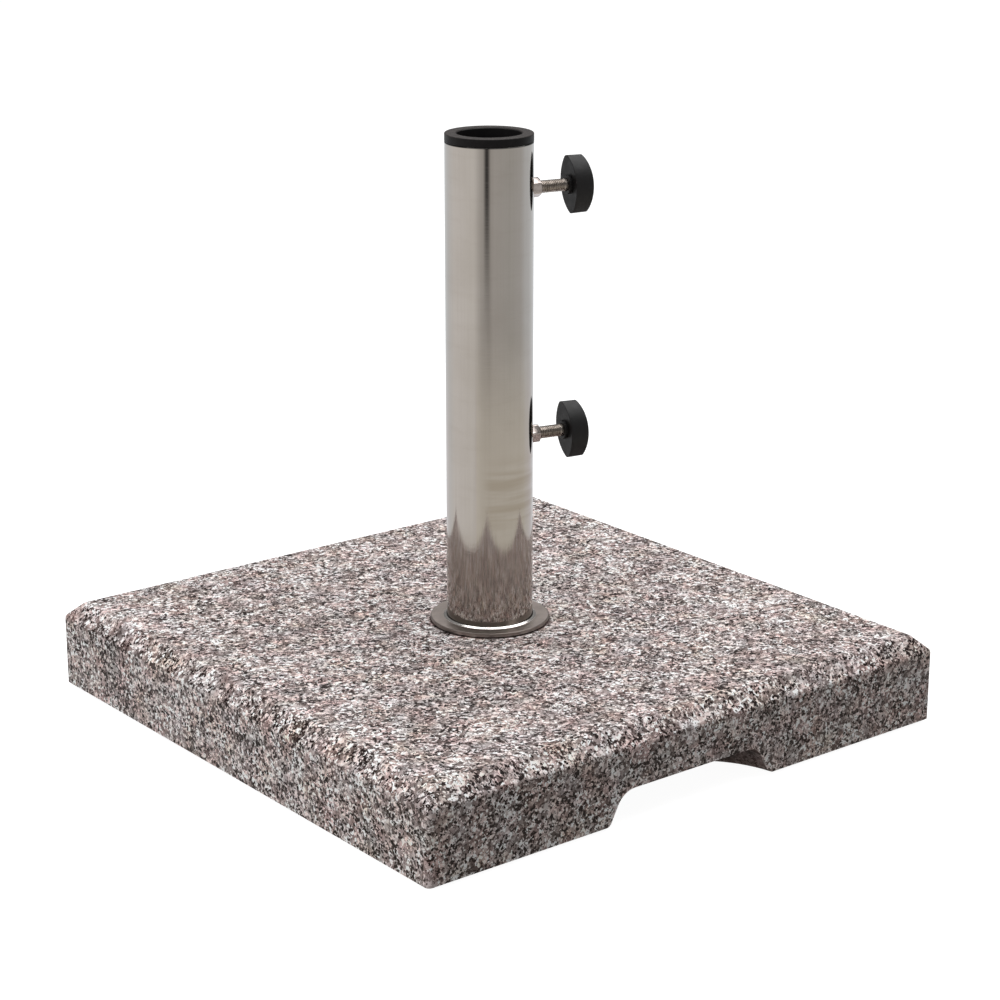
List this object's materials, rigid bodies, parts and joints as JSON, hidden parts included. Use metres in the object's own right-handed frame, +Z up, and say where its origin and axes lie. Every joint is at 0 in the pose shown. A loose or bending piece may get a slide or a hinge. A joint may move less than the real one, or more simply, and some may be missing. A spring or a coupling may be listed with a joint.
{
  "type": "parasol base",
  "caption": "Square granite ballast slab carrying an upright polished steel pole socket with screw clamps, a plastic reducing bush and hand recesses underneath.",
  "frame": {"origin": "on the floor, under the middle of the slab", "axes": "+Z up along the pole, the first hand recess faces -Y, the clamp screws point 12 degrees from +X towards -Y"},
  "size_m": [0.4, 0.4, 0.3728],
  "materials": {
    "granite": "polished speckled granite",
    "polished_steel": "mirror-polished stainless steel",
    "rosette_steel": "satin stainless steel",
    "zinc_steel": "zinc-plated steel",
    "nut_steel": "plated steel",
    "screw_steel": "plated steel, rolled thread",
    "knob_plastic": "fine matt black moulding",
    "bush_plastic": "satin black moulding",
    "nylon": "natural nylon",
    "pad_rubber": "black rubber"
  },
  "bodies": {
    "stand": {"granite_slab": "granite", "foot_pad_front_left": "pad_rubber", "foot_pad_front_right": "pad_rubber", "foot_pad_back_left": "pad_rubber", "foot_pad_back_right": "pad_rubber", "stand_tube": "polished_steel", "tube_foot_plate": "zinc_steel", "foot_nut": "zinc_steel", "anchor_bolt": "zinc_steel", "anchor_spring_washer": "zinc_steel", "anchor_washer": "zinc_steel", "cover_ring": "rosette_steel", "ring_gasket": "pad_rubber", "upper_clamp_nut": "nut_steel", "lower_clamp_nut": "nut_steel"},
    "bush": {"pole_bush": "bush_plastic"},
    "upper_thrust": {"upper_thrust_pad": "nylon"},
    "upper_handwheel": {"upper_clamp_screw": "screw_steel", "upper_knob": "knob_plastic"},
    "lower_thrust": {"lower_thrust_pad": "nylon"},
    "lower_handwheel": {"lower_clamp_screw": "screw_steel", "lower_knob": "knob_plastic"}
  },
  "joints": [
    {"name": "bush_lift", "type": "slide", "parent": "stand", "child": "bush", "axis": [0, 0, 1], "range_m": [0, 0.03]},
    {"name": "upper_clamp_travel", "type": "slide", "parent": "stand", "child": "upper_thrust", "axis": [0.9781, -0.2079, 0], "range_m": [-0.01812, 0.00332]},
    {"name": "upper_knob_turn", "type": "hinge", "parent": "upper_thrust", "child": "upper_handwheel", "pos_m": [0.0538, -0.01144, 0.3365], "axis": [0.9781, -0.2079, 0], "range_deg": [-5212.8, 950.4]},
    {"name": "lower_clamp_travel", "type": "slide", "parent": "stand", "child": "lower_thrust", "axis": [0.9781, -0.2079, 0], "range_m": [-0.01622, 0.00522]},
    {"name": "lower_knob_turn", "type": "hinge", "parent": "lower_thrust", "child": "lower_handwheel", "pos_m": [0.05194, -0.01104, 0.1785], "axis": [0.9781, -0.2079, 0], "range_deg": [-4665.6, 1497.6]}
  ],
  "couplings": [
    {"joint": "upper_clamp_travel", "follows": "upper_knob_turn", "m_per_rad": 0.00019894},
    {"joint": "lower_clamp_travel", "follows": "lower_knob_turn", "m_per_rad": 0.00019894}
  ]
}
